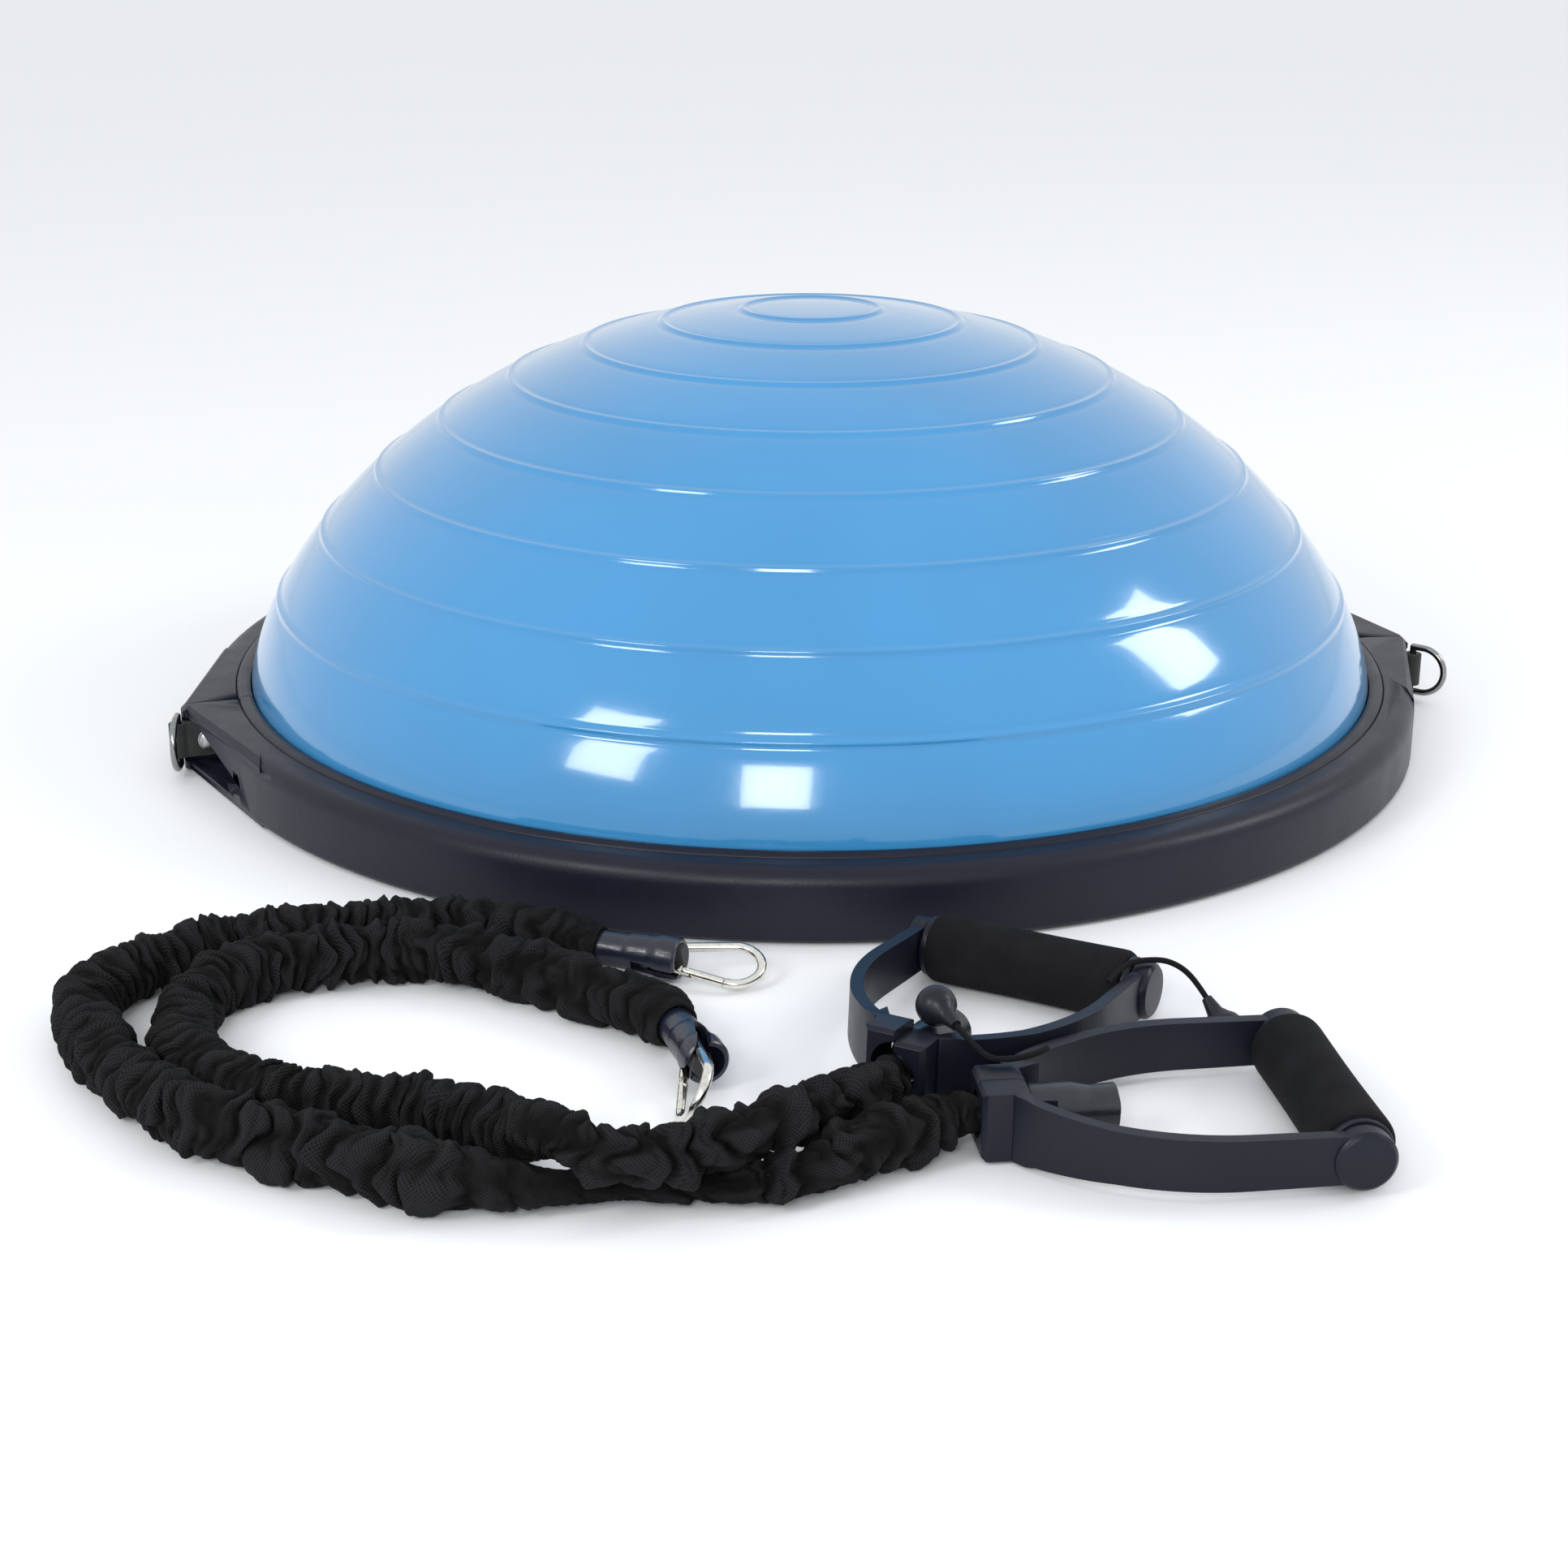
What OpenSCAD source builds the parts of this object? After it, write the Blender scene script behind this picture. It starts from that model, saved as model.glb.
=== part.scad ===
// Balance dome trainer with two sleeved resistance bands.
// Millimetres. Z is up, the floor is z = 0, and the dome's axis is x = 0, y = 0.
// X runs along the two side lugs, and the bands lie on the -Y side.

/* [Platform] */
// Outer radius of the rim
platform_r = 325; // [280:1:400]
// Height of the rim's flat top above the floor
rim_h = 35; // [28:0.5:50]
// Width of the rim, from its outer wall to the opening round the dome
rim_w = 24; // [18:0.5:36]
// Wall of the two rim covers
rim_wall = 4; // [3:0.5:5]
// Radius of the rounded top edge of the rim
rim_round = 9; // [5:0.5:11]
// Width of the bead along the rim's inner edge
lip_w = 7; // [5:0.5:9]
// Height of that bead above the flat top
lip_h = 1.5; // [0.5:0.5:3]
// Thickness of the pan's floor
pan_floor = 5; // [4:0.5:8]
// Height of the pan's underside above the floor
pan_gap = 4; // [3:0.5:6]

/* [Dome] */
// Height of the dome's crown above the rim's flat top
dome_h = 190.5; // [140:0.5:260]
// Wall of the inflated dome
dome_wall = 3; // [2:0.25:5]
// Number of raised rings on the dome
ring_count = 8; // [4:1:8]
// Distance over the surface from the crown to the first ring
first_ring = 36; // [25:0.5:45]
// Distance over the surface from one ring to the next
ring_pitch = 42.5; // [35:0.5:43]
// Height of each raised ring
bead_h = 1.1; // [0.5:0.1:2]
// Half width of each raised ring
bead_w = 2.4; // [1.5:0.1:4]
// Bore of the air valve
valve_d = 9; // [7:0.5:12]

/* [Side lugs] */
// How far each lug stands out beyond the rim
lug_reach = 13; // [10:1:30]
// Width of the flat at the end of each lug
lug_end_w = 12; // [8:1:24]
// Angle by which the lugs sit forward of the X axis
lug_forward = 5; // [0:0.5:15]
// Wire thickness of the D rings
dring_wire = 3.6; // [3:0.1:5]
// Inner height of the D rings
dring_gap = 22; // [18:1:25]
// Thickness of the anchor strap
strap_t = 3; // [2:0.5:4]
// Diameter of the anchor bolt
anchor_bolt_d = 6; // [5:0.5:8]

/* [Handles] */
// Distance from the socket's face to the grip's axis
handle_len = 131; // [115:1:160]
// Distance between the inner faces of the arms at the grip
handle_gap = 93; // [85:1:110]
// Thickness of the arms
arm_t = 5.5; // [4.5:0.5:7]
// Height of the arms at the grip
arm_h = 19; // [17:0.5:26]
// Height of the socket that takes the tube
socket_h = 27; // [25:0.5:32]
// Width of the closed socket
socket_w = 26; // [24:0.5:30]
// Bore of the socket
socket_bore = 18; // [15:0.5:18.5]
// Diameter of the foam grip
foam_d = 29.5; // [26:0.5:36]
// Diameter of the axle that the grip turns on
axle_d = 8; // [6:0.5:10]

/* [Bands] */
// Radius of the gathered sleeve where it is fullest
sleeve_r = 13; // [11:0.5:13.5]
// Wall of the sleeve with its gathers
sleeve_wall = 1.5; // [1:0.25:2]
// Diameter of the elastic tube inside the sleeve
tube_d = 10; // [8:0.5:10]
// Length of the rubber boot
boot_len = 40; // [34:1:46]
// Wire thickness of the snap hooks
hook_wire = 4.2; // [3.5:0.1:5]
// Length of the snap hooks
hook_len = 56; // [50:1:70]
// Outer width of the snap hooks at their wide end
hook_w = 27; // [24:1:34]
// Diameter of the keeper balls
ball_d = 16; // [12:0.5:20]
// Diameter of the keeper cords
keeper_d = 2.4; // [2:0.1:3]

/* [Hidden] */

// Smoothness of the round surfaces
$fn = 96;
// Clearance between pieces that touch but don't move
gap = 0.2;
// Width of the seam between the two rim covers
seam = 0.6;
// Radial clearance of a running fit
run_fit = 0.06;

// Colours
slate = [0.16, 0.17, 0.22];
blue = [0.22, 0.55, 0.90];
plastic = [0.12, 0.13, 0.17];
foam_black = [0.08, 0.08, 0.09];
cloth_black = [0.05, 0.05, 0.06];
rubber_navy = [0.07, 0.09, 0.15];
nickel = [0.80, 0.78, 0.72];
gunmetal = [0.35, 0.36, 0.34];
zinc = [0.62, 0.62, 0.62];

// ---- rim and pan, worked out from the platform's sizes
rim_foot = 1;                               // gap under the rim covers
lip_in = platform_r - rim_w;                // opening round the dome
lip_out = lip_in + lip_w;
flange_in = lip_in + 1;                     // rim's return flange under the pan
flange_top = pan_gap - 0.1;
pan_r = platform_r - rim_wall - 8;
pan_top = pan_gap + pan_floor;
upstand_t = 5;
upstand_top = rim_h - rim_wall - 3;
grip_out = flange_in - 2;                   // rubber ring under the pan
grip_in = grip_out - 14;
grip_seat = 1.5;
dome_r = lip_in - 0.5;                      // dome's radius at the rim's flat top
dome_z = rim_h - 0.5;
flange_w = 24;                              // dome's flange under the clamp ring
clamp_t = 4;
clamp_out = dome_r - dome_wall - 3;
clamp_in = clamp_out - 18;
clamp_bolt_r = clamp_in + 5;
clamp_bolts = 16;
screw_d = 5;
rim_screw_r = (flange_in + pan_r) / 2;
rim_screws_n = 16;
valve_r = platform_r * 0.6;                 // the valve's distance from the axis

// ---- side lugs
lug_axis_z = rim_h / 2;
lug_r = platform_r + lug_reach;
tangent = acos(platform_r / norm([lug_r, lug_end_w / 2])) + atan(lug_end_w / 2 / lug_r);
bar_x = lug_r + dring_wire / 2 + 0.5;       // the D ring's bar stands just outside the lug
bar_y = -5.5;
strap_h = dring_gap - 4;
strap_tail = 24;
anchor_x = bar_x - 15;
washer_t = 1.2;
washer_d = anchor_bolt_d * 1.9;
bow_depth = 6;
left_swing = -78;                           // how the D rings hang at rest
right_swing = -42;

// ---- handles
arc_r = 100;                                // radius of the arms' curved part
arc_x = 90;
arc_sweep = 52;
arm_out = handle_gap / 2 + arm_t;
disc_r = arm_h / 2 + 2.2;
disc_t = 8;
socket_len = 18;
core_d = foam_d - 9;
collar_t = 3;
plug_r = socket_bore / 2 + 1.2;
plug_x = socket_len + 0.5;
plug_len = 34;
// Each handle: socket face x, y, height, heading, tilt
rear_tilt = 2.6;
front_pose = [-42, -515, foam_d / 2, -4, 0];
rear_pose = [-68, -490, foam_d / 2 + 0.1 + handle_len * sin(rear_tilt), 50.5, rear_tilt];
rear_lift = 1.7;                            // the rear handle's far arm rides up on its sleeve

// ---- cord routes: x, y, height of the centre, radius of the gathered sleeve
front_route = [[-54, -514, 14, 10], [-72, -522, 14, 11.5], [-90, -530, 13.5, 10.8], [-109, -538, 11, 9.8],
    [-131, -539, 7.5, 7.5], [-153, -534, 7.2, 7.2], [-178, -528, 7.2, 7.2], [-198, -528, 7.2, 7.2],
    [-218, -526, 10, 9.5], [-240, -521, 13, 12.5], [-262, -509, 13, 13], [-284, -492, 13, 13],
    [-308, -475, 13, 13], [-330, -454, 13, 13], [-349, -424, 13, 12.5], [-362, -392, 13, 12.5],
    [-369, -360, 13, 12.5], [-363, -334, 13, 12.5], [-343, -314, 13, 12.5], [-317, -301, 13, 12.5],
    [-287, -295, 13, 12.5], [-253, -293, 13, 12.5], [-218, -298, 13, 12.5], [-189, -309, 13, 12.5],
    [-170, -320, 12, 12], [-157, -328, 11, 10.5]];
rear_route = [[-76, -499, 21, 10], [-90, -507, 22.5, 10.8], [-110, -516, 22, 10.2], [-130, -533, 24.2, 9.5],
    [-150, -540, 24.2, 9.5], [-168, -543, 24.2, 9.5], [-184, -538, 24.6, 9.5], [-196, -521, 24.8, 10],
    [-210, -499, 16, 12], [-231, -476, 13, 12.5], [-254, -465, 13, 12.5], [-280, -456, 13, 12.5],
    [-305, -441, 13, 12.5], [-327, -411, 13, 12.5], [-331, -376, 13, 12.5], [-321, -347, 13, 12.5],
    [-303, -329, 13, 12.5], [-278, -320, 13, 12.5], [-248, -320, 13, 12.5], [-219, -328, 13, 12.5],
    [-191, -350, 13, 12.5], [-165, -377, 13, 12.5], [-144, -400, 13, 12.5], [-138, -416, 13, 10.5]];
front_boot_pose = [-160, -326, 11, -31];    // boot's narrow end, heading
rear_boot_pose = [-139, -412, 13, -79];
// Keepers: from the ball along the cord, to the knot and round the loop
front_keeper = [[-46, -469, 38], [-42, -483, 36], [-38, -494, 33], [-34, -502, 31], [-28, -504, 30.5],
    [-20, -503, 30.5], [-13, -499, 30], [-9, -493, 28]];
rear_keeper = [[78, -452, 9], [73, -441, 19], [68, -432, 26], [62, -425, 28.5], [54, -422, 28.5],
    [46, -424, 28.5], [39, -430, 28], [33, -437, 27]];
front_hook_turn = [20, 4, 11];              // the hook's roll, pitch and yaw in its boot
rear_hook_turn = [62, 1, -18];
hook_in_boot = 20;                          // how far the hook's narrow end sits in the boot

// ---- snap hooks: centres and tangent points of the narrow and the wide bend
hook_r = hook_wire / 2;
narrow_r = 4;
wide_r = hook_w / 2 - hook_r;
narrow_c = [narrow_r + hook_r, 0];
wide_c = [hook_len - hook_r - wide_r, 0];
taper = asin((wide_r - narrow_r) / (wide_c[0] - narrow_c[0]));
narrow_t = narrow_c + narrow_r * [-sin(taper), -cos(taper)];
wide_t = wide_c + wide_r * [-sin(taper), -cos(taper)];
gate_dir = [cos(taper), -sin(taper)];
gate_hinge = narrow_t + 0.52 * (wide_t - narrow_t);
gate_len = norm(wide_t - gate_hinge) - 0.5;
tongue_t = 1.4;
tongue_back = hook_r + 1;                   // from the gate's pin back to the end of the wire
stub_len = norm(gate_hinge - narrow_t) - tongue_back;
gate_pin_r = 0.8;

// ---- small helpers
// A point turned by a degrees about the origin
function turn2(p, a) = [p[0] * cos(a) - p[1] * sin(a), p[0] * sin(a) + p[1] * cos(a)];
// Points of an arc of radius r about [x, y]
function arc(x, y, r, a0, a1, n) = [for (i = [0:n]) let(a = a0 + (a1 - a0) * i / n)
    [x + r * cos(a), y + r * sin(a)]];
// Point on a handle's middle line, x from its socket's face
function on_handle(pose, x) = let(q = turn2([x * cos(pose[4]), 0], pose[3]))
    [pose[0] + q[0], pose[1] + q[1], pose[2] - x * sin(pose[4])];
function unit(v) = v / norm(v);
function xyz(p) = [p[0], p[1], p[2]];
// Direction of a route at its point i
function heading(pts, i) = unit(xyz(pts[min(i + 1, len(pts) - 1)]) - xyz(pts[max(i - 1, 0)]));
// One ring of n points round point i of a route
function ring(pts, i, r, n) = let(t = heading(pts, i), s = unit(cross([0, 0, 1], t)), u = cross(t, s))
    [for (k = [0:n - 1]) let(a = 360 * (k + 0.5) / n) xyz(pts[i]) + r * (cos(a) * s + sin(a) * u)];

// A closed tube swept along a route, radius rad(i)
module sweep(pts, radii, n) {
    last = len(pts) - 1;
    points = [for (i = [0:last]) each ring(pts, i, radii[i], n)];
    sides = [for (i = [0:last - 1], k = [0:n - 1]) let(a = i * n + k, b = i * n + (k + 1) % n)
        each [[a, b, a + n], [b, b + n, a + n]]];
    polyhedron(points, concat(sides, [[for (k = [n - 1:-1:0]) k]], [[for (k = [0:n - 1]) last * n + k]]));
}

// A hollow tube swept along a route, open at both ends
module hollow_sweep(pts, radii, wall, n) {
    last = len(pts) - 1;
    m = (last + 1) * n;
    points = concat([for (i = [0:last]) each ring(pts, i, radii[i], n)],
                    [for (i = [0:last]) each ring(pts, i, radii[i] - wall, n)]);
    outer = [for (i = [0:last - 1], k = [0:n - 1]) let(a = i * n + k, b = i * n + (k + 1) % n)
        each [[a, b, a + n], [b, b + n, a + n]]];
    inner = [for (f = outer) [f[0] + m, f[2] + m, f[1] + m]];
    ends = [for (k = [0:n - 1]) let(b = (k + 1) % n, e = last * n)
        each [[k, m + k, b], [b, m + k, m + b],
              [e + k, e + b, e + m + k], [e + b, e + m + b, e + m + k]]];
    polyhedron(points, concat(outer, inner, ends));
}

// ---- platform
module pan() color(slate) difference() {
    rotate_extrude($fn = 180) polygon([
        [0, pan_gap], [grip_in - gap, pan_gap], [grip_in - gap, pan_gap + grip_seat],
        [grip_out + gap, pan_gap + grip_seat], [grip_out + gap, pan_gap], [pan_r, pan_gap],
        [pan_r, upstand_top], [pan_r - upstand_t, upstand_top],
        [pan_r - upstand_t, pan_top], [0, pan_top]]);
    translate([0, -valve_r, pan_gap - 1]) cylinder(d = valve_d + 9, h = pan_floor + 2);
    each_clamp_bolt() translate([0, 0, pan_gap - 1]) cylinder(d = screw_d + gap, h = pan_floor + 2);
    each_rim_screw() translate([0, 0, pan_gap - 1]) cylinder(d = screw_d + gap, h = pan_floor + 2);
}

module each_clamp_bolt() for (i = [0:clamp_bolts - 1])
    rotate(360 * (i + 0.5) / clamp_bolts) translate([clamp_bolt_r, 0, 0]) children();

module each_rim_screw() for (i = [0:rim_screws_n - 1])
    rotate(360 * (i + 0.5) / rim_screws_n) translate([rim_screw_r, 0, 0]) children();

module grip_ring() color(foam_black) rotate_extrude($fn = 180)
    polygon([[grip_in, 0], [grip_out, 0], [grip_out, pan_gap + grip_seat], [grip_in, pan_gap + grip_seat]]);

module clamp_ring() color(zinc) difference() {
    translate([0, 0, pan_top + dome_wall]) difference() {
        cylinder(r = clamp_out, h = clamp_t, $fn = 180);
        translate([0, 0, -1]) cylinder(r = clamp_in, h = clamp_t + 2, $fn = 180);
    }
    each_clamp_bolt() translate([0, 0, pan_top]) cylinder(d = screw_d + gap, h = dome_wall + clamp_t + 1);
}

module clamp_screws() color(zinc) each_clamp_bolt() {
    translate([0, 0, pan_gap + 0.5]) cylinder(d = screw_d, h = pan_floor + dome_wall + clamp_t);
    translate([0, 0, pan_top + dome_wall + clamp_t]) cylinder(d = screw_d * 1.8, h = 3);
}

module rim_screws() color(zinc) each_rim_screw() {
    translate([0, 0, rim_foot + 0.8]) cylinder(d = screw_d, h = pan_top - rim_foot - 1);
    translate([0, 0, rim_foot + 0.2]) cylinder(d = screw_d * 1.6, h = 1.4);
}

// Outline of the rim's section, from the flange's inner edge round to the bead
function rim_outside() = concat(
    [[flange_in, rim_foot]],
    arc(platform_r - 3, rim_foot + 3, 3, -90, 0, 3),
    arc(platform_r - rim_round, rim_h - rim_round, rim_round, 0, 90, 8),
    [[lip_out + 1, rim_h], [lip_out + 0.5, rim_h - 0.8], [lip_out, rim_h]],
    arc(lip_in + lip_w / 2, rim_h, lip_w / 2, 0, 180, 8));
function squash_lip(p) = p[0] < lip_out && p[1] > rim_h
    ? [p[0], rim_h + (p[1] - rim_h) * lip_h / (lip_w / 2)] : p;
function rim_inside() = concat(
    [[lip_in, rim_h - rim_wall]],
    arc(platform_r - rim_round, rim_h - rim_round, rim_round - rim_wall, 90, 0, 5),
    [[platform_r - rim_wall, flange_top], [flange_in, flange_top - 0.2]]);

// The lug in plan: x runs outward, inset by w
module lug_plan(w) polygon(concat(
    [[platform_r * 0.9, 0]],
    [turn2([platform_r - w - 0.6, 0], -tangent - 1.5)],
    arc(lug_r - w - 4, -lug_end_w / 2 + 4 + w * 0.3, 4, -75, 0, 4),
    arc(lug_r - w - 4, lug_end_w / 2 - 4 - w * 0.3, 4, 0, 75, 4),
    [turn2([platform_r - w - 0.6, 0], tangent + 1.5)]));

module lug_body(w, z0, z1) difference() {
    translate([0, 0, z0]) linear_extrude(z1 - z0) lug_plan(w);
    translate([0, 0, z0 - 1]) cylinder(r = lip_out + 4, h = z1 - z0 + 2, $fn = 180);
}

// Both covers in one, before they are parted at the lugs
module rim_whole() difference() {
    union() {
        rotate_extrude($fn = 180) polygon([for (p = concat(rim_outside(), rim_inside())) squash_lip(p)]);
        each_lug() lug_body(0, rim_foot, rim_h);
    }
    each_lug() lug_body(rim_wall, flange_top, rim_h - rim_wall);
    each_lug() lug_edges();
    each_rim_screw() translate([0, 0, rim_foot - 1]) cylinder(d = screw_d + gap, h = rim_wall + 2);
    each_rim_screw() translate([0, 0, rim_foot - 1]) cylinder(d = screw_d * 1.6 + 0.6, h = 2.6);
}

module each_lug() {
    rotate(-lug_forward) children();
    mirror([1, 0, 0]) rotate(-lug_forward) children();
}

// Bevels along the lug's top edges
module lug_edges() for (s = [-1, 1]) {
    a = atan2(platform_r * sin(tangent) - lug_end_w / 2, lug_r - platform_r * cos(tangent));
    translate([lug_r, s * lug_end_w / 2, rim_h]) rotate(s * (90 - a))
        rotate([0, 45, 0]) cube([6, 260, 6], center = true);
    translate([lug_r, 0, rim_h]) rotate([0, 45, 0]) cube([5, 40, 5], center = true);
}

// Sector of the platform, front or rear of the two seams
module sector(front) translate([0, 0, -1]) linear_extrude(rim_h * 2) polygon(front
    ? [[0, 0], turn2([450, 0], 180 + lug_forward), [-450, -450], [450, -450], turn2([450, 0], -lug_forward)]
    : [[0, 0], turn2([450, 0], -lug_forward), [450, 450], [-450, 450], turn2([450, 0], 180 + lug_forward)]);

module rim_front() color(slate) difference() {
    intersection() { rim_whole(); translate([0, -seam, 0]) sector(true); }
    each_lug() pocket_cut();
}

// Cut through the front flank: tall at the lug's end, narrow towards the rim
module pocket_cut() {
    lo = pan_gap + 1;
    hi = rim_h - 6;
    translate([lug_r, 0, 0]) rotate([90, 0, 0]) linear_extrude(80)
        polygon([[6, lo], [6, hi], [-6, hi], [-24, lo + 6], [-18, lo]]);
}

module rim_rear() color(slate) union() {
    difference() {
        intersection() { rim_whole(); sector(false); }
        each_lug() translate([anchor_x, rim_wall, lug_axis_z]) rotate([-90, 0, 0])
            cylinder(d = anchor_bolt_d * 2, h = 8);
    }
    each_lug() seam_wall();
}

// Wall inside the rear cover, along the seam, that carries the anchor bolt
module seam_wall() difference() {
    intersection() {
        translate([lip_out + 6, 0, flange_top])
            cube([lug_r - lip_out - 7, rim_wall, rim_h - rim_wall - flange_top]);
        lug_body(0.5, flange_top, rim_h - rim_wall);
    }
    translate([anchor_x, rim_wall + 1, lug_axis_z]) rotate([90, 0, 0])
        cylinder(d = anchor_bolt_d + 0.4, h = rim_wall + 2);
}

// ---- dome
// Point of the dome's outer face at angle t from the crown
function dome_point(t) = [dome_r * pow(sin(t), 0.94), dome_z + dome_h * pow(cos(t), 1.333)];
// Distance over the surface from the crown to each whole degree of t
dome_arc = [for (i = 0, s = 0; i < 90; s = s + norm(dome_point(i + 1) - dome_point(i)), i = i + 1) s];
dome_lookup = [for (i = [0:len(dome_arc) - 1]) [dome_arc[i], i]];
// The rings stand a constant distance apart over the surface
dome_run = dome_arc[len(dome_arc) - 1];
ring_step = min(ring_pitch, (dome_run - first_ring - 15) / max(ring_count - 1, 1));
function ring_angle(i) = lookup(first_ring + i * ring_step, dome_lookup);
function dome_bump(p) = max([for (i = [0:ring_count - 1])
    let(d = norm(p - dome_point(ring_angle(i)))) d < bead_w ? bead_h * (1 - d * d / bead_w / bead_w) : 0]);
function dome_normal(t) = let(a = dome_point(t + 0.05), b = dome_point(t - 0.05), d = unit(a - b)) [-d[1], d[0]];
function dome_skin(t) = let(p = dome_point(t)) p + dome_bump(p) * dome_normal(t);
function ring_angles() = [for (i = [0:ring_count - 1], k = [-4:4]) ring_angle(i) + k * 0.115];
function even_angles() = [for (t = [0.8:2.4:89.9]) if (min([for (a = ring_angles()) abs(a - t)]) > 0.5) t];
function sorted(v) = len(v) < 2 ? v : let(m = v[floor(len(v) / 2)])
    concat(sorted([for (x = v) if (x < m) x]), [for (x = v) if (x == m) x], sorted([for (x = v) if (x > m) x]));

module dome() color(blue) difference() {
    rotate_extrude($fn = 180) polygon(concat(
        [[0, dome_z + dome_h]],
        [for (t = sorted(concat(even_angles(), ring_angles()))) dome_skin(t)],
        [[dome_r, dome_z], [dome_r - 0.8, pan_top + 6], [dome_r - 3, pan_top],
         [dome_r - flange_w, pan_top], [dome_r - flange_w, pan_top + dome_wall],
         [dome_r - dome_wall - 2, pan_top + dome_wall], [dome_r - dome_wall, pan_top + 8]],
        [for (t = [88:-4:4]) let(p = dome_point(t)) p - dome_wall * dome_normal(t)],
        [[0, dome_z + dome_h - dome_wall]]));
    each_clamp_bolt() translate([0, 0, pan_top - 1]) cylinder(d = screw_d + gap, h = dome_wall + 2);
}

module valve_seat() color(foam_black) translate([0, -valve_r, 0]) difference() {
    union() {
        translate([0, 0, pan_gap]) cylinder(d = valve_d + 9, h = pan_floor);
        translate([0, 0, pan_top]) cylinder(d = valve_d + 15, h = 2.5);
    }
    translate([0, 0, pan_gap - 1]) cylinder(d = valve_d, h = pan_floor + 6);
    translate([0, 0, pan_gap - 1]) cylinder(d = valve_d + 5, h = 3);
}

module valve_plug() color([0.9, 0.9, 0.9]) translate([0, -valve_r, 0]) {
    translate([0, 0, pan_gap - 1]) cylinder(d = valve_d + 4.4, h = 2.4);
    translate([0, 0, pan_gap + 1]) cylinder(d = valve_d - 2 * run_fit, h = pan_floor + 4);
    translate([0, 0, pan_top + 4]) cylinder(d1 = valve_d - 2 * run_fit, d2 = valve_d - 4, h = 4);
}

// ---- side lugs: strap, bolt and D ring, drawn at the right lug
module at_lug(left) if (left) mirror([1, 0, 0]) rotate(-lug_forward) children();
    else rotate(-lug_forward) children();

module strap() color(foam_black) {
    eye_r = dring_wire / 2 + strap_t;
    difference() {
        intersection() {
            translate([0, 0, lug_axis_z - strap_h / 2]) linear_extrude(strap_h) union() {
                translate([bar_x, bar_y]) circle(r = eye_r);
                translate([bar_x - strap_tail, bar_y - strap_t]) square([strap_tail, 2 * strap_t]);
            }
            union() {
                translate([anchor_x, bar_y, lug_axis_z]) rotate([90, 0, 0])
                    cylinder(d = strap_h, h = 4 * eye_r, center = true);
                translate([anchor_x, bar_y - 2 * eye_r, lug_axis_z - strap_h / 2])
                    cube([bar_x - anchor_x + eye_r, 4 * eye_r, strap_h]);
            }
        }
        translate([bar_x, bar_y, 0]) cylinder(r = dring_wire / 2 + run_fit, h = rim_h);
        translate([anchor_x, bar_y, lug_axis_z]) rotate([90, 0, 0])
            cylinder(d = anchor_bolt_d + 0.2, h = 30, center = true);
    }
}

module anchor_bolt() color(zinc) translate([anchor_x, 0, lug_axis_z]) rotate([90, 0, 0]) {
    face = -bar_y + strap_t + washer_t + gap;
    translate([0, 0, -rim_wall - 6]) cylinder(d = anchor_bolt_d, h = face + rim_wall + 6);
    translate([0, 0, face]) intersection() {
        cylinder(d = anchor_bolt_d * 1.7, h = 3);
        translate([0, 0, -4]) sphere(r = anchor_bolt_d * 1.25);
    }
}

module anchor_nut() color(zinc) translate([anchor_x, rim_wall + gap, lug_axis_z]) rotate([-90, 0, 0])
    difference() {
        cylinder(d = anchor_bolt_d * 1.8, h = 5, $fn = 6);
        translate([0, 0, -1]) cylinder(d = anchor_bolt_d, h = 7);
    }

module washers() color(zinc) for (y = [bar_y - strap_t - washer_t - gap / 2, bar_y + strap_t + gap / 2])
    translate([anchor_x, y, lug_axis_z]) rotate([-90, 0, 0]) difference() {
        cylinder(d = washer_d, h = y < bar_y ? washer_t : -bar_y - strap_t - gap);
        translate([0, 0, -1]) cylinder(d = anchor_bolt_d + 0.3, h = 9);
    }

module d_ring(swing) color(gunmetal) translate([bar_x, bar_y, lug_axis_z]) rotate(swing) {
    half = (dring_gap + dring_wire) / 2;
    r = dring_wire / 2;
    translate([0, 0, -half]) cylinder(r = r, h = 2 * half);
    for (s = [-1, 1]) translate([0, 0, s * half]) {
        sphere(r = r);
        rotate([0, 90, 0]) cylinder(r = r, h = bow_depth);
    }
    translate([bow_depth, 0, 0]) rotate([90, 0, 0]) rotate(-90)
        rotate_extrude(angle = 180) translate([half, 0]) circle(r = r, $fn = 32);
}

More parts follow.
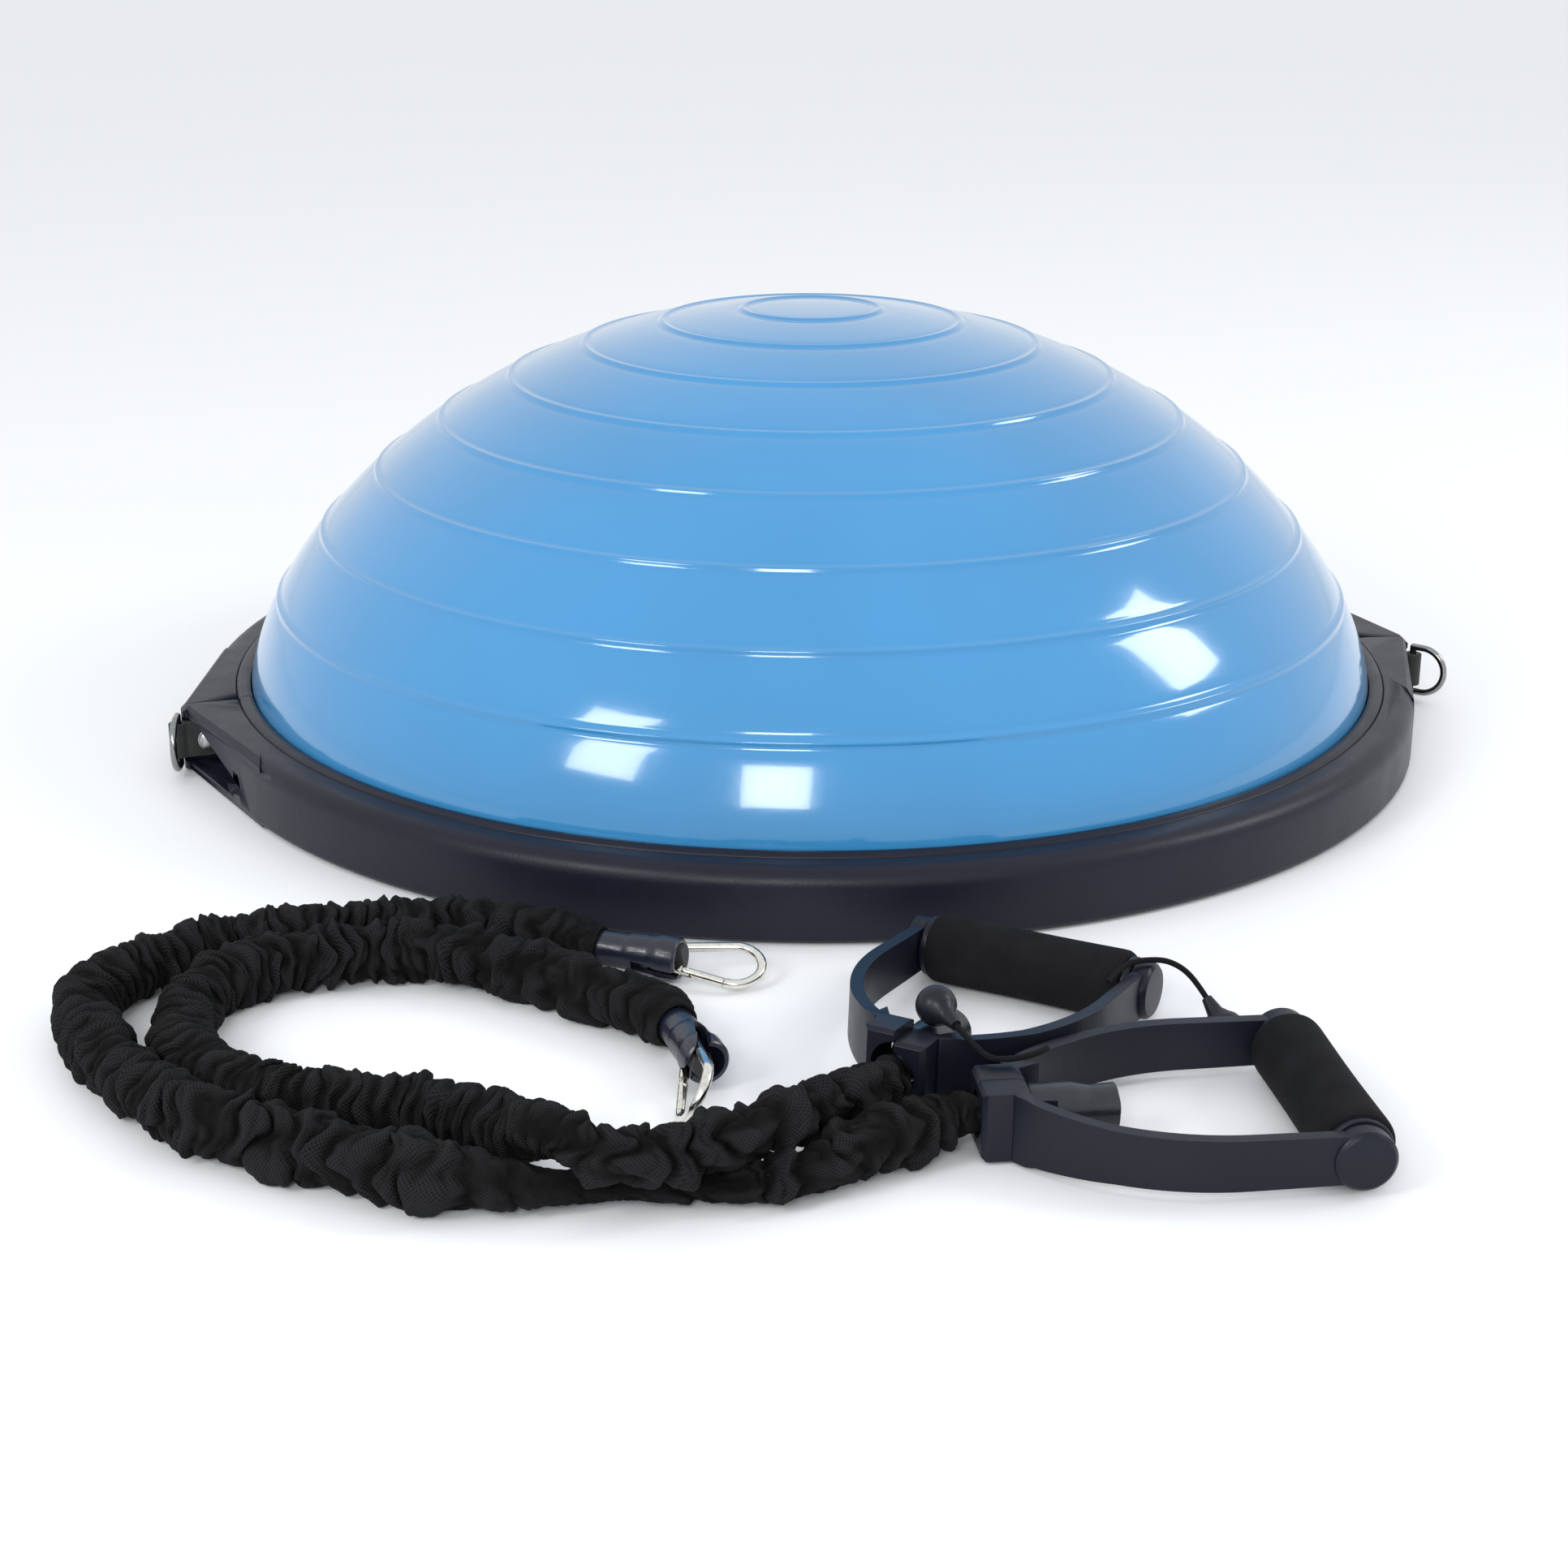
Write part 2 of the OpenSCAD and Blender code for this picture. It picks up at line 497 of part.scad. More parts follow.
// ---- handles, in their own frame: x from the socket's face to the grip, z = 0 at mid height
module arm() color(plastic) difference() {
    intersection() {
        translate([0, 0, -socket_h / 2]) linear_extrude(socket_h) union() {
            translate([arc_x, arm_out - arm_t]) square([handle_len - arc_x, arm_t]);
            intersection() {
                translate([arc_x, arm_out - arc_r]) difference() {
                    circle(r = arc_r, $fn = 180);
                    circle(r = arc_r - arm_t, $fn = 180);
                }
                translate([arc_x, arm_out - arc_r]) polygon([[0, 0], [0, 200], turn2([300, 0], 90 + arc_sweep)]);
            }
            polygon([[0, gap], [0, socket_w / 2 - 2], [2, socket_w / 2], [socket_len - 3, socket_w / 2],
                [socket_len + 2, socket_w / 2 + 3.5], [socket_len + 9, socket_w / 2 + 3],
                [socket_len + 1, plug_r + 1], [socket_len, plug_r + 0.8], [socket_len, gap]]);
        }
        rotate([90, 0, 0]) linear_extrude(400, center = true) polygon([
            [0, -socket_h / 2 + 1.5], [1.5, -socket_h / 2], [socket_len - 3, -socket_h / 2],
            [socket_len, -socket_h / 2 + 1], [socket_len + 25, -arm_h / 2 - 1],
            [handle_len, -arm_h / 2], [handle_len + 20, -arm_h / 2],
            [handle_len + 20, arm_h / 2], [handle_len, arm_h / 2], [socket_len + 25, arm_h / 2 + 1],
            [socket_len, socket_h / 2 - 1],
            [socket_len - 3, socket_h / 2], [1.5, socket_h / 2], [0, socket_h / 2 - 1.5]]);
    }
    translate([-1, 0, 0]) rotate([0, 90, 0]) cylinder(d = socket_bore, h = socket_len + 2);
    arm_end_cut();
}

module arm_end_cut() translate([handle_len, handle_gap / 2 - 1, 0]) rotate([-90, 0, 0])
    cylinder(r = disc_r - 1, h = disc_t + 2);

module arm_disc() color(plastic) translate([handle_len, handle_gap / 2, 0]) rotate([-90, 0, 0]) difference() {
    union() {
        cylinder(r = disc_r, h = disc_t - 1.5);
        translate([0, 0, disc_t - 1.5]) cylinder(r1 = disc_r, r2 = disc_r - 1.5, h = 1.5);
    }
    translate([0, 0, -1]) cylinder(r = axle_d / 2 + run_fit, h = disc_t - 1);
}

module whole_arm() union() { arm(); arm_disc(); }

module on_floor(pose) translate([pose[0], pose[1], pose[2]]) rotate([0, pose[4], pose[3]]) children();
module near_arm(pose) on_floor(pose) mirror([0, 1, 0]) whole_arm();
module far_arm(pose, lift) on_floor(pose) translate([handle_len, 0, 0]) rotate([0, lift, 0])
    translate([-handle_len, 0, 0]) whole_arm();
module axle(pose) color(zinc) on_floor(pose) translate([handle_len, 0, 0]) rotate([90, 0, 0])
    cylinder(d = axle_d, h = handle_gap + 2 * (disc_t - 2) - 1, center = true);

module grip_core(pose) color(plastic) on_floor(pose) translate([handle_len, 0, 0]) rotate([90, 0, 0])
    difference() {
        union() {
            cylinder(d = core_d, h = handle_gap - 1, center = true);
            for (s = [-1, 1]) translate([0, 0, s * (handle_gap / 2 - 0.5 - collar_t / 2)])
                cylinder(d = foam_d - 4, h = collar_t, center = true);
        }
        cylinder(d = axle_d + 2 * run_fit, h = handle_gap + 2, center = true);
    }

module foam(pose) color(foam_black) on_floor(pose) translate([handle_len, 0, 0]) {
    half = handle_gap / 2 - 0.5 - collar_t - gap;
    rotate([90, 0, 0]) rotate_extrude() polygon([[core_d / 2 + 0.02, -half], [foam_d / 2 - 2.5, -half],
        [foam_d / 2 - 0.8, -half + 0.8], [foam_d / 2, -half + 3], [foam_d / 2, half - 3],
        [foam_d / 2 - 0.8, half - 0.8], [foam_d / 2 - 2.5, half], [core_d / 2 + 0.02, half]]);
}

module tube_plug(pose) color(rubber_navy) on_floor(pose) translate([plug_x, 0, 0]) rotate([0, 90, 0])
    rotate_extrude() polygon([[tube_d / 2 + 0.4, 0], [plug_r - 1, 0], [plug_r, 1.5], [plug_r, plug_len * 0.5],
        [plug_r - 1.5, plug_len * 0.7], [plug_r - 1.2, plug_len], [tube_d / 2 + 0.4, plug_len]]);

// ---- cords
function with_handle(route, pose) = concat(
    [concat(on_handle(pose, plug_x + plug_len + 1), 8), concat(on_handle(pose, 0), 8)], route);
function radii(route) = [for (p = route) min(p[3], sleeve_r)];

module elastic_tube(route, pose, boot) color([0.3, 0.3, 0.32]) {
    b = turn2([1, 0], boot[3]);
    pts = concat(with_handle(route, pose), [[boot[0] + 16 * b[0], boot[1] + 16 * b[1], boot[2]]]);
    sweep(pts, [for (p = pts) tube_d / 2], 8);
}
module sleeve(route, pose) color(cloth_black) {
    pts = concat([concat(on_handle(pose, -2), 8.5)], route);
    hollow_sweep(pts, radii(pts), sleeve_wall, 10);
}

module on_boot(pose) translate([pose[0], pose[1], pose[2]]) rotate(pose[3]) children();
module boot(pose) color(rubber_navy) on_boot(pose) difference() {
    rotate([0, 90, 0]) rotate_extrude() polygon([[0, 0], [7, 0], [7.5, 1.5], [7.8, boot_len * 0.4],
        [8.4, boot_len * 0.45], [8.6, boot_len * 0.7], [9.6, boot_len * 0.8], [9.2, boot_len - 1],
        [8.4, boot_len], [0, boot_len]]);
    translate([-1, 0, 0]) rotate([0, 90, 0]) cylinder(d = tube_d + 1.6, h = 19);
    translate([boot_len * 0.45, 0, 0]) rotate([0, 90, 0]) cylinder(r = 7, h = boot_len);
}

// The hook stands in its boot's mouth, turned as it lies
module on_hook(pose, turn) on_boot(pose) translate([boot_len - hook_in_boot, 0, 0]) rotate(turn) children();

// Centre line of the hook's wire, from the gate's hinge round both bends to the nose
hook_path = [for (p = concat([narrow_t + stub_len * gate_dir],
    arc(narrow_c[0], narrow_c[1], narrow_r, 270 - taper, 90 + taper, 8),
    arc(wide_c[0], wide_c[1], wide_r, 90 + taper, -90 - taper, 16))) [p[0], p[1], 0]];
module hook(pose, turn) color(nickel) on_hook(pose, turn) sweep(hook_path, [for (p = hook_path) hook_r], 12);

// Forked gate, turning on the pin
module gate(pose, turn) color(nickel) on_hook(pose, turn) translate([gate_hinge[0], gate_hinge[1], 0])
    rotate(-taper) difference() {
        union() {
            rotate([0, 90, 0]) cylinder(r = hook_r - 0.1, h = gate_len);
            intersection() {
                cylinder(r = hook_r - 0.1, h = 2 * hook_r, center = true);
                translate([-3, 0, 0]) rotate([0, 90, 0]) cylinder(r = hook_r - 0.2, h = 4);
            }
        }
        cube([2 * hook_r + 1.4, 2 * hook_r + 1, tongue_t + 0.7], center = true);
        translate([0, 0, -5]) cylinder(r = gate_pin_r + run_fit, h = 10);
    }

// Tongue at the end of the wire, with the gate's pin riveted through it
module gate_pin(pose, turn) color(nickel) on_hook(pose, turn) translate([gate_hinge[0], gate_hinge[1], 0])
    rotate(-taper) {
        cylinder(r = gate_pin_r, h = 2 * hook_r - 0.4, center = true);
        cylinder(r = hook_r - 0.6, h = tongue_t, center = true);
        translate([-tongue_back, -(hook_r - 0.6), -tongue_t / 2]) cube([tongue_back, 2 * hook_r - 1.2, tongue_t]);
    }

module boot_with_hook(pose, turn) color(rubber_navy) difference() {
    boot(pose);
    on_hook(pose, turn) translate([-1, -hook_w / 2, -hook_r - 0.3]) cube([hook_len, hook_w, hook_wire + 0.6]);
}

// Webbing at the tube's end that passes through the hook's eye
module loop(pose, turn) color(cloth_black) intersection() {
    on_boot(pose) translate([boot_len * 0.45 + gap, 0, 0]) rotate([0, 90, 0])
        cylinder(r = 6.6, h = boot_len * 0.55 + 1);
    on_hook(pose, turn) translate([0, 0, -8]) linear_extrude(16) polygon([
        [hook_wire + 0.4, -1.2], [hook_in_boot + 4, -4.4], [hook_in_boot + 4, 4.4], [hook_wire + 0.4, 1.2]]);
}

// ---- keepers: a ball on a thin cord that ends in a loop round an arm
module keeper_cord(pts) color(cloth_black) sweep(pts, [for (p = pts) keeper_d / 2], 8);
module keeper_ball(pts) color(plastic) {
    d = unit(pts[1] - pts[0]);
    ball_r = ball_d / 2;
    bore_r = (keeper_d + gap) / 2;
    translate(pts[0]) rotate([0, acos(d[2]), atan2(d[1], d[0])]) rotate_extrude($fn = 48) polygon(concat(
        arc(0, 0, ball_r, -90, 50, 14),
        [[ball_r * 0.42, ball_r * 1.1], [bore_r + 0.8, ball_r * 1.9], [bore_r, ball_r * 1.9], [bore_r, 0], [0, 0]]));
}

pan();
rim_front();
rim_rear();
clamp_ring();
clamp_screws();
rim_screws();
grip_ring();
dome();
valve_seat();
valve_plug();
at_lug(true) strap();  // left_strap
at_lug(true) anchor_bolt();  // left_anchor_bolt
at_lug(true) anchor_nut();  // left_anchor_nut
at_lug(true) washers();  // left_washers
at_lug(true) d_ring(left_swing);  // left_d_ring
at_lug(false) strap();  // right_strap
at_lug(false) anchor_bolt();  // right_anchor_bolt
at_lug(false) anchor_nut();  // right_anchor_nut
at_lug(false) washers();  // right_washers
at_lug(false) d_ring(right_swing);  // right_d_ring
near_arm(front_pose);  // front_near_arm
far_arm(front_pose, 0);  // front_far_arm
axle(front_pose);  // front_axle
grip_core(front_pose);  // front_grip_core
foam(front_pose);  // front_foam
tube_plug(front_pose);  // front_tube_plug
elastic_tube(front_route, front_pose, front_boot_pose);  // front_tube
sleeve(front_route, front_pose);  // front_sleeve
boot_with_hook(front_boot_pose, front_hook_turn);  // front_boot
loop(front_boot_pose, front_hook_turn);  // front_loop
hook(front_boot_pose, front_hook_turn);  // front_hook
gate(front_boot_pose, front_hook_turn);  // front_gate
gate_pin(front_boot_pose, front_hook_turn);  // front_gate_pin
near_arm(rear_pose);  // rear_near_arm
far_arm(rear_pose, rear_lift);  // rear_far_arm
axle(rear_pose);  // rear_axle
grip_core(rear_pose);  // rear_grip_core
foam(rear_pose);  // rear_foam
tube_plug(rear_pose);  // rear_tube_plug
elastic_tube(rear_route, rear_pose, rear_boot_pose);  // rear_tube
sleeve(rear_route, rear_pose);  // rear_sleeve
boot_with_hook(rear_boot_pose, rear_hook_turn);  // rear_boot
loop(rear_boot_pose, rear_hook_turn);  // rear_loop
hook(rear_boot_pose, rear_hook_turn);  // rear_hook
gate(rear_boot_pose, rear_hook_turn);  // rear_gate
gate_pin(rear_boot_pose, rear_hook_turn);  // rear_gate_pin
keeper_cord(front_keeper);  // front_keeper_cord
keeper_ball(front_keeper);  // front_keeper_ball
keeper_cord(rear_keeper);  // rear_keeper_cord
keeper_ball(rear_keeper);  // rear_keeper_ball
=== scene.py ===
"""Balance dome trainer with two sleeved resistance bands: its finished surfaces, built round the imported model."""

from math import cos, exp, pi, radians, sin

import bmesh
import bpy
from bpy.props import FloatProperty, FloatVectorProperty, IntProperty, PointerProperty
from bpy.types import Operator, Panel, PropertyGroup
from mathutils import Matrix, Vector, noise


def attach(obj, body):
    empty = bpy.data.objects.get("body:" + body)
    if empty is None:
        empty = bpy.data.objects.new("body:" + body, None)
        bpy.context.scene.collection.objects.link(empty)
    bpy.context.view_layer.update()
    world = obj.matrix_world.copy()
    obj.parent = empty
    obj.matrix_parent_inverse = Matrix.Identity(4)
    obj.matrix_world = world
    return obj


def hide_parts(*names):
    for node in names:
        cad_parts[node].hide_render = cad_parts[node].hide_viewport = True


bl_info = {
    "name": "Balance Dome Trainer",
    "version": (1, 0, 0),
    "blender": (4, 5, 0),
    "location": "View3D > Sidebar > Trainer",
    "description": "Dresses a balance dome, its platform and its two resistance bands",
    "category": "Object",
}

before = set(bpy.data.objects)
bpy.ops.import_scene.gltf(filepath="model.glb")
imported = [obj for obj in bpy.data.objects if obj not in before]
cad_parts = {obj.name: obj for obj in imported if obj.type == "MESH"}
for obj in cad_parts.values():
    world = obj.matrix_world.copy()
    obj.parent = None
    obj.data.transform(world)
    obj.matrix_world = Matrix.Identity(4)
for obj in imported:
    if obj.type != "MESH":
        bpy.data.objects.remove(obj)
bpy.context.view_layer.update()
MM = 0.001


# ---------------------------------------------------------------- sizes shared with the CAD

FOAM_R = 0.01475
REAR_TILT = 2.6
FRONT_POSE = (-42, -515, 14.75, -4, 0)
REAR_POSE = (-68, -490, 14.85 + 131 * sin(radians(REAR_TILT)), 50.5, REAR_TILT)
FRONT_ROUTE = (
    (-54, -514, 14, 10), (-72, -522, 14, 11.5), (-90, -530, 13.5, 10.8), (-109, -538, 11, 9.8),
    (-131, -539, 7.5, 7.5), (-153, -534, 7.2, 7.2), (-178, -528, 7.2, 7.2), (-198, -528, 7.2, 7.2),
    (-218, -526, 10, 9.5), (-240, -521, 13, 12.5), (-262, -509, 13, 13), (-284, -492, 13, 13),
    (-308, -475, 13, 13), (-330, -454, 13, 13), (-349, -424, 13, 12.5), (-362, -392, 13, 12.5),
    (-369, -360, 13, 12.5), (-363, -334, 13, 12.5), (-343, -314, 13, 12.5), (-317, -301, 13, 12.5),
    (-287, -295, 13, 12.5), (-253, -293, 13, 12.5), (-218, -298, 13, 12.5), (-189, -309, 13, 12.5),
    (-170, -320, 12, 12), (-157, -328, 11, 10.5),
)
REAR_ROUTE = (
    (-76, -499, 21, 10), (-90, -507, 22.5, 10.8), (-110, -516, 22, 10.2), (-130, -533, 24.2, 9.5),
    (-150, -540, 24.2, 9.5), (-168, -543, 24.2, 9.5), (-184, -538, 24.6, 9.5), (-196, -521, 24.8, 10),
    (-210, -499, 16, 12), (-231, -476, 13, 12.5), (-254, -465, 13, 12.5), (-280, -456, 13, 12.5),
    (-305, -441, 13, 12.5), (-327, -411, 13, 12.5), (-331, -376, 13, 12.5), (-321, -347, 13, 12.5),
    (-303, -329, 13, 12.5), (-278, -320, 13, 12.5), (-248, -320, 13, 12.5), (-219, -328, 13, 12.5),
    (-191, -350, 13, 12.5), (-165, -377, 13, 12.5), (-144, -400, 13, 12.5), (-138, -416, 13, 10.5),
)
FRONT_BOOT = (-160, -326, 11, -31)
REAR_BOOT = (-139, -412, 13, -79)
FRONT_KEEPER = (
    (-46, -469, 38), (-42, -483, 36), (-38, -494, 33), (-34, -502, 31), (-28, -504, 30.5),
    (-20, -503, 30.5), (-13, -499, 30), (-9, -493, 28),
)
REAR_KEEPER = (
    (78, -452, 9), (73, -441, 19), (68, -432, 26), (62, -425, 28.5), (54, -422, 28.5),
    (46, -424, 28.5), (39, -430, 28), (33, -437, 27),
)
# How the cloth is gathered along each band: share of its length, fold spacing, fold depth,
# and how wide and how high the section is against its round one
FRONT_GATHER = (
    (0.00, 9, 2.0, 1.0, 1.0), (0.05, 15, 4.4, 1.05, 1.0), (0.12, 13, 4.2, 1.1, 1.0),
    (0.16, 16, 2.0, 1.3, 0.9), (0.21, 40, 0.5, 1.55, 0.8), (0.26, 24, 1.2, 1.4, 0.9),
    (0.30, 12, 4.0, 1.1, 1.0), (0.38, 14, 4.6, 1.0, 1.0), (0.47, 9, 3.6, 1.0, 1.0),
    (0.56, 6.5, 3.0, 1.0, 1.0), (0.72, 6, 2.9, 1.0, 1.0), (0.85, 7, 3.2, 1.0, 1.0),
    (0.94, 9, 3.0, 1.0, 1.0), (1.00, 7, 1.0, 1.0, 1.0),
)
REAR_GATHER = (
    (0.00, 9, 2.0, 1.0, 1.0), (0.06, 17, 4.6, 1.05, 1.0), (0.14, 16, 4.4, 1.15, 1.05),
    (0.20, 11, 3.6, 1.05, 1.0), (0.27, 6.5, 2.7, 1.0, 1.0), (0.44, 6, 2.8, 1.0, 1.0),
    (0.52, 8, 2.2, 1.05, 1.0), (0.60, 6.5, 2.8, 1.0, 1.0), (0.74, 8, 3.8, 1.0, 1.0),
    (0.86, 13, 4.6, 1.0, 1.0), (0.96, 14, 3.0, 1.0, 1.0), (1.00, 9, 1.0, 1.0, 1.0),
)


# ---------------------------------------------------------------- shader maths

class Value:
    """A shader socket that numbers and other sockets can be worked out with."""

    def __init__(self, tree, socket):
        self.tree, self.socket = tree, socket

    def math(self, operation, *others):
        node = self.tree.nodes.new("ShaderNodeMath")
        node.operation = operation
        for slot, term in zip(node.inputs, (self, *others)):
            plug(self.tree, slot, term)
        return Value(self.tree, node.outputs[0])

    def __add__(self, other):
        return self.math("ADD", other)

    def __sub__(self, other):
        return self.math("SUBTRACT", other)

    def __mul__(self, other):
        return self.math("MULTIPLY", other)

    __radd__, __rmul__ = __add__, __mul__

    def sine(self):
        return self.math("SINE")

    def absolute(self):
        return self.math("ABSOLUTE")

    def ramp(self, low, high):
        """0 below low, 1 above high, and a smooth step between."""
        node = self.tree.nodes.new("ShaderNodeMapRange")
        node.interpolation_type = "SMOOTHSTEP"
        plug(self.tree, node.inputs["Value"], self)
        node.inputs["From Min"].default_value = low
        node.inputs["From Max"].default_value = high
        return Value(self.tree, node.outputs["Result"])


def plug(tree, slot, term):
    if isinstance(term, Value):
        tree.links.new(term.socket, slot)
    else:
        slot.default_value = term


class Finish:
    """A material on a Principled shader, with one method that makes any node it needs."""

    def __init__(self, name, colour, roughness, **constants):
        self.material = bpy.data.materials.new(name)
        self.material.use_nodes = True
        self.tree = self.material.node_tree
        self.shader = self.tree.nodes["Principled BSDF"]
        self.material.diffuse_color = (*colour, 1)
        self.set("Base Color", (*colour, 1))
        self.set("Roughness", roughness)
        for key, value in constants.items():
            self.set(key.replace("_", " "), value)

    def set(self, name, value):
        plug(self.tree, self.shader.inputs[name], value)

    def node(self, kind, settings=None, out=0, **sockets):
        """Any node: its type, its settings, and the values or links of its sockets."""
        made = self.tree.nodes.new(kind)
        for key, value in (settings or {}).items():
            setattr(made, key, value)
        for key, value in sockets.items():
            numbered = key[0] == "i" and key[1:].isdigit()
            plug(self.tree, made.inputs[int(key[1:]) if numbered else key.replace("_", " ")], value)
        return Value(self.tree, made.outputs[out])

    def place(self):
        return self.node("ShaderNodeTexCoord", out="Object")

    def uv(self, name="cloth"):
        return self.node("ShaderNodeUVMap", {"uv_map": name})

    def split(self, vector):
        node = self.tree.nodes.new("ShaderNodeSeparateXYZ")
        plug(self.tree, node.inputs[0], vector)
        return [Value(self.tree, out) for out in node.outputs]

    def mottle(self, scale, detail=3, where=None):
        return self.node("ShaderNodeTexNoise", out="Fac", Vector=where or self.place(), Scale=scale, Detail=detail)

    def blend(self, factor, first, second):
        """Colour between two colours."""
        return self.node("ShaderNodeMix", {"data_type": "RGBA"}, out=2, i0=factor, i6=first, i7=second)

    def bump(self, height, strength, distance):
        self.set("Normal", self.node("ShaderNodeBump", Height=height, Strength=strength, Distance=distance))


def rgba(c, k=1.0):
    return (c[0] * k, c[1] * k, c[2] * k, 1)


def dome_vinyl(colour):
    f = Finish("dome_vinyl", colour, 0.13, Coat_Weight=0.6, Coat_Roughness=0.05, IOR=1.5)
    cloud = f.mottle(9, 2)
    f.set("Base Color", f.blend(cloud.ramp(0.3, 0.7), rgba(colour, 0.96), rgba(colour, 1.04)))
    f.set("Roughness", f.mottle(45, 4) * 0.08 + 0.10)
    f.bump(f.mottle(140, 4) * 0.6 + f.mottle(14, 2) * 2, 0.10, 0.0006)
    return f.material


def moulded(name, colour, roughness, grain=900, depth=0.25, lighter=1.35, shine=0.25):
    """Fine-grained satin plastic, a little rubbed."""
    f = Finish(name, colour, roughness, Specular_IOR_Level=shine)
    rub = f.mottle(16, 5)
    f.set("Base Color", f.blend(rub.ramp(0.42, 0.72), rgba(colour), rgba(colour, lighter)))
    f.set("Roughness", f.mottle(60, 4) * 0.16 + (roughness - 0.08))
    f.bump(f.mottle(grain, 3) + f.mottle(70, 2) * 0.5, depth, 0.0004)
    return f.material


def gathered_cloth(colour):
    """Plain weave that follows the sleeve: UV runs in metres along and round it. Its colour is painted darker in the
    creases of the gathers and lighter on their ridges, from each point's fold height: painted shade.
    """
    f = Finish("gathered_cloth", colour, 0.9, Specular_IOR_Level=0.14)
    along, around, _ = f.split(f.uv())
    pitch = 2 * pi / 0.0014
    warp = (along * pitch).sine()
    weft = (around * pitch).sine()
    weave = (warp * weft) * 0.5 + 0.5
    slub = f.mottle(240, 3)
    fold = f.node("ShaderNodeAttribute", {"attribute_name": "fold"}, out="Fac")
    # Real weave and slub, times the fold height: painted shade that darkens the creases and lightens the ridges
    weave_and_painted_crease_shade = ((weave * 0.65 + slub * 0.35) * (fold.ramp(0.15, 1.1) * 0.88 + 0.12)).ramp(0.02, 0.75)
    f.set("Base Color", f.blend(weave_and_painted_crease_shade, rgba(colour, 0.2), rgba(colour, 3.0)))
    f.set("Roughness", slub * 0.2 + 0.68)
    f.bump(weave + slub * 0.5, 0.9, 0.0005)
    return f.material


def braid(name, colour):
    f = Finish(name, colour, 0.85, Specular_IOR_Level=0.15)
    along, around, _ = f.split(f.uv())
    pitch = 2 * pi / 0.0016
    plait = (along * pitch + around * pitch).sine().absolute() * (along * pitch - around * pitch).sine().absolute()
    f.set("Base Color", f.blend(plait, rgba(colour, 0.6), rgba(colour, 1.8)))
    f.bump(plait, 0.6, 0.0004)
    return f.material


def webbing(colour):
    f = Finish("webbing", colour, 0.8, Sheen_Weight=0.1)
    x, y, z = f.split(f.place())
    rib = ((x + y) * (2 * pi / 0.0016)).sine() * (z * (2 * pi / 0.0013)).sine()
    f.set("Base Color", f.blend(rib * 0.5 + 0.5, rgba(colour, 0.6), rgba(colour, 1.7)))
    f.bump(rib, 0.5, 0.0004)
    return f.material


def foam_skin(colour):
    f = Finish("foam_skin", colour, 0.95, Specular_IOR_Level=0.12)
    cells = f.node("ShaderNodeTexVoronoi", out="Distance", Vector=f.place(), Scale=1100)
    soft = f.mottle(60, 4)
    f.set("Base Color", f.blend(soft.ramp(0.35, 0.7), rgba(colour, 0.85), rgba(colour, 1.3)))
    f.set("Roughness", cells * 0.2 + 0.78)
    f.bump(cells + soft * 0.6, 0.35, 0.0003)
    return f.material


def glossy_rubber(name, colour, roughness):
    f = Finish(name, colour, roughness, Specular_IOR_Level=0.6)
    f.set("Roughness", f.mottle(180, 4) * 0.2 + (roughness - 0.08))
    f.set("Base Color", f.blend(f.mottle(40, 3), rgba(colour, 0.8), rgba(colour, 1.3)))
    f.bump(f.mottle(260, 4), 0.25, 0.0006)
    return f.material


def plated(name, colour, roughness):
    f = Finish(name, colour, roughness, Metallic=1.0)
    scuff = f.mottle(420, 5)
    f.set("Base Color", f.blend(scuff.ramp(0.45, 0.75), rgba(colour), rgba(colour, 0.82)))
    f.set("Roughness", scuff.ramp(0.4, 0.8) * 0.12 + roughness)
    f.bump(f.mottle(900, 2), 0.06, 0.0002)
    return f.material


# ---------------------------------------------------------------- mesh helpers

def new_object(name, bm, smooth=None, body="dome_unit"):
    """A finished bmesh as an object that rides on a body; smooth is the sharpest angle that stays soft."""
    mesh = bpy.data.meshes.new(name)
    bm.to_mesh(mesh)
    bm.free()
    obj = bpy.data.objects.new(name, mesh)
    bpy.context.scene.collection.objects.link(obj)
    if smooth is not None:
        mesh.polygons.foreach_set("use_smooth", [True] * len(mesh.polygons))
        mesh.set_sharp_from_angle(angle=radians(smooth))
    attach(obj, body)
    return obj


def dress(obj, material):
    obj.data.materials.clear()
    obj.data.materials.append(material)
    return obj


def refine(node, body, width, segments=3, smooth=35, bevel_from=30):
    """A CAD node's shape with its triangles joined and its edges rounded. It stands for the node."""
    bm = bmesh.new()
    bm.from_mesh(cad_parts[node].data)
    bmesh.ops.remove_doubles(bm, verts=bm.verts, dist=0.00002)
    bmesh.ops.dissolve_limit(bm, angle_limit=radians(0.6), verts=bm.verts, edges=bm.edges, delimit=set())
    obj = new_object(node + "_shown", bm, smooth, body)
    if width:
        cut = obj.modifiers.new("soft_edges", "BEVEL")
        cut.width = width
        cut.segments = segments
        cut.limit_method = "ANGLE"
        cut.angle_limit = radians(bevel_from)
        cut.harden_normals = True
    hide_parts(node)
    return obj


def lathe(profile, steps, axis=(0, 0, 1), closed=False):
    """A bmesh turned from (radius, height) points about Z, welded and facing outwards."""
    bm = bmesh.new()
    verts = [bm.verts.new((r, 0, z)) for r, z in profile]
    edges = [bm.edges.new(pair) for pair in zip(verts, verts[1:])]
    if closed:
        edges.append(bm.edges.new((verts[-1], verts[0])))
    bmesh.ops.spin(bm, geom=verts + edges, cent=(0, 0, 0), axis=axis, angle=2 * pi, steps=steps, use_merge=True)
    bmesh.ops.remove_doubles(bm, verts=bm.verts, dist=1e-6)
    bmesh.ops.recalc_face_normals(bm, faces=bm.faces)
    return bm


